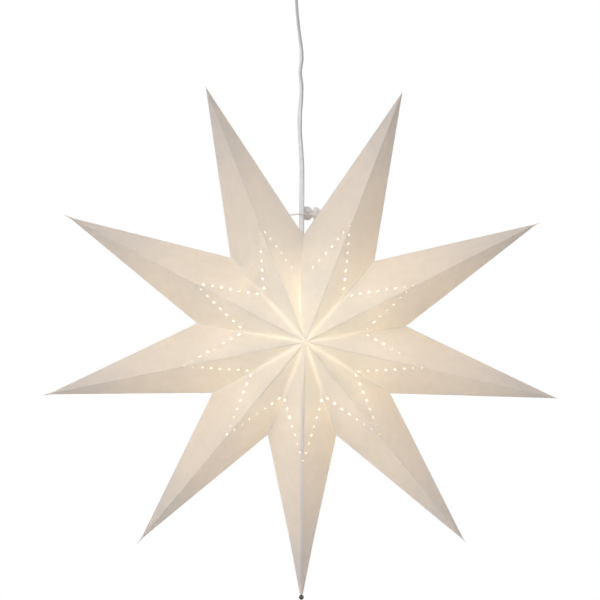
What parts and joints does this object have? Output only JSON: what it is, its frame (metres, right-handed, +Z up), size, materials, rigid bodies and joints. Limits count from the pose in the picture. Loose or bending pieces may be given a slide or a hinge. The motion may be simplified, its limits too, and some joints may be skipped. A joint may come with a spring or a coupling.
{
  "type": "star pendant lamp",
  "caption": "Hollow folded paper star with long tapering points round a small lamp, hung on a flat cord from a ceiling cup.",
  "frame": {"origin": "centre of the hanging eye's hole, inside the ceiling cup", "axes": "+Z up along the cord, +X to the right seen from the front, the front faces -Y"},
  "size_m": [0.5897, 0.15, 0.7539],
  "materials": {
    "paper": "matt white card",
    "string": "braided white string",
    "thread": "fine grey thread",
    "clear_plastic": "clear moulded plastic",
    "spring_steel": "bright wire",
    "bead_metal": "dark polished metal",
    "cord_sheath": "satin white sheath",
    "soft_white_plastic": "soft satin white",
    "white_plastic": "moulded white",
    "natural_plastic": "milky nylon",
    "zinc_steel": "zinc plated",
    "brass": "pressed brass",
    "brown_core": "brown core insulation",
    "blue_core": "blue core insulation",
    "ceramic": "cream ceramic",
    "nickel": "plated screw cap",
    "dark_glass": "dark vitreous insulator",
    "frosted_glass": "frosted",
    "lamp_rod": "lit rod"
  },
  "bodies": {
    "ceiling_fitting": {"hanging_eye": "white_plastic", "grip_screws": "zinc_steel", "terminal_block": "natural_plastic", "terminal_block_screws": "brass", "upper_core_live": "brown_core", "upper_core_neutral": "blue_core"},
    "ceiling_cup": {"ceiling_cup": "white_plastic"},
    "pendant": {"pendant_cord": "cord_sheath", "lower_core_live": "brown_core", "lower_core_neutral": "blue_core", "strain_relief": "soft_white_plastic", "holder_cap": "white_plastic", "holder_skirt": "white_plastic", "holder_insulator": "ceramic", "holder_terminal_screws": "brass", "screw_shell": "brass", "centre_contact": "brass"},
    "bulb": {"bulb_cap": "nickel", "bulb_insulator": "dark_glass", "bulb_contact": "nickel", "bulb_globe": "frosted_glass", "bulb_filament": "lamp_rod"},
    "star": {"paper_point_1": "paper", "paper_point_2": "paper", "paper_point_3": "paper", "paper_point_4": "paper", "paper_point_5": "paper", "paper_point_6": "paper", "paper_point_7": "paper", "paper_point_8": "paper", "paper_point_9": "paper", "drawstring": "string", "bead_thread": "thread"},
    "lock": {"lock_ball": "clear_plastic", "lock_spring": "spring_steel"},
    "lock_button": {"lock_button": "clear_plastic"},
    "bead": {"tip_bead": "bead_metal"}
  },
  "joints": [
    {"name": "pendant_swing", "type": "hinge", "parent": "ceiling_fitting", "child": "pendant", "pos_m": [0, 0, -0.0275], "axis": [0, 1, 0], "range_deg": [-5, 5]},
    {"name": "cup_slide", "type": "slide", "parent": "ceiling_fitting", "child": "ceiling_cup", "axis": [0, 0, -1], "range_m": [0, 0.03]},
    {"name": "bulb_unscrew", "type": "slide", "parent": "pendant", "child": "bulb", "axis": [0, 0, -1], "range_m": [0, 0.024]},
    {"name": "star_turn", "type": "hinge", "parent": "pendant", "child": "star", "pos_m": [0, 0, -0.437], "axis": [0, 0, 1], "range_deg": [-15, 15]},
    {"name": "lock_slide", "type": "slide", "parent": "star", "child": "lock", "axis": [0, 1, 0], "range_m": [0, 0.01]},
    {"name": "lock_press", "type": "slide", "parent": "lock", "child": "lock_button", "axis": [-0.9996, 0, 0.0279], "range_m": [0, 0.0025], "stiffness_N_per_m": 400, "springref_m": -0.001, "deforming": ["lock_spring"]},
    {"name": "bead_spin", "type": "hinge", "parent": "star", "child": "bead", "pos_m": [-0.00731, -0.0028, -0.73601], "axis": [0.0279, 0, 0.9996], "continuous": true}
  ]
}
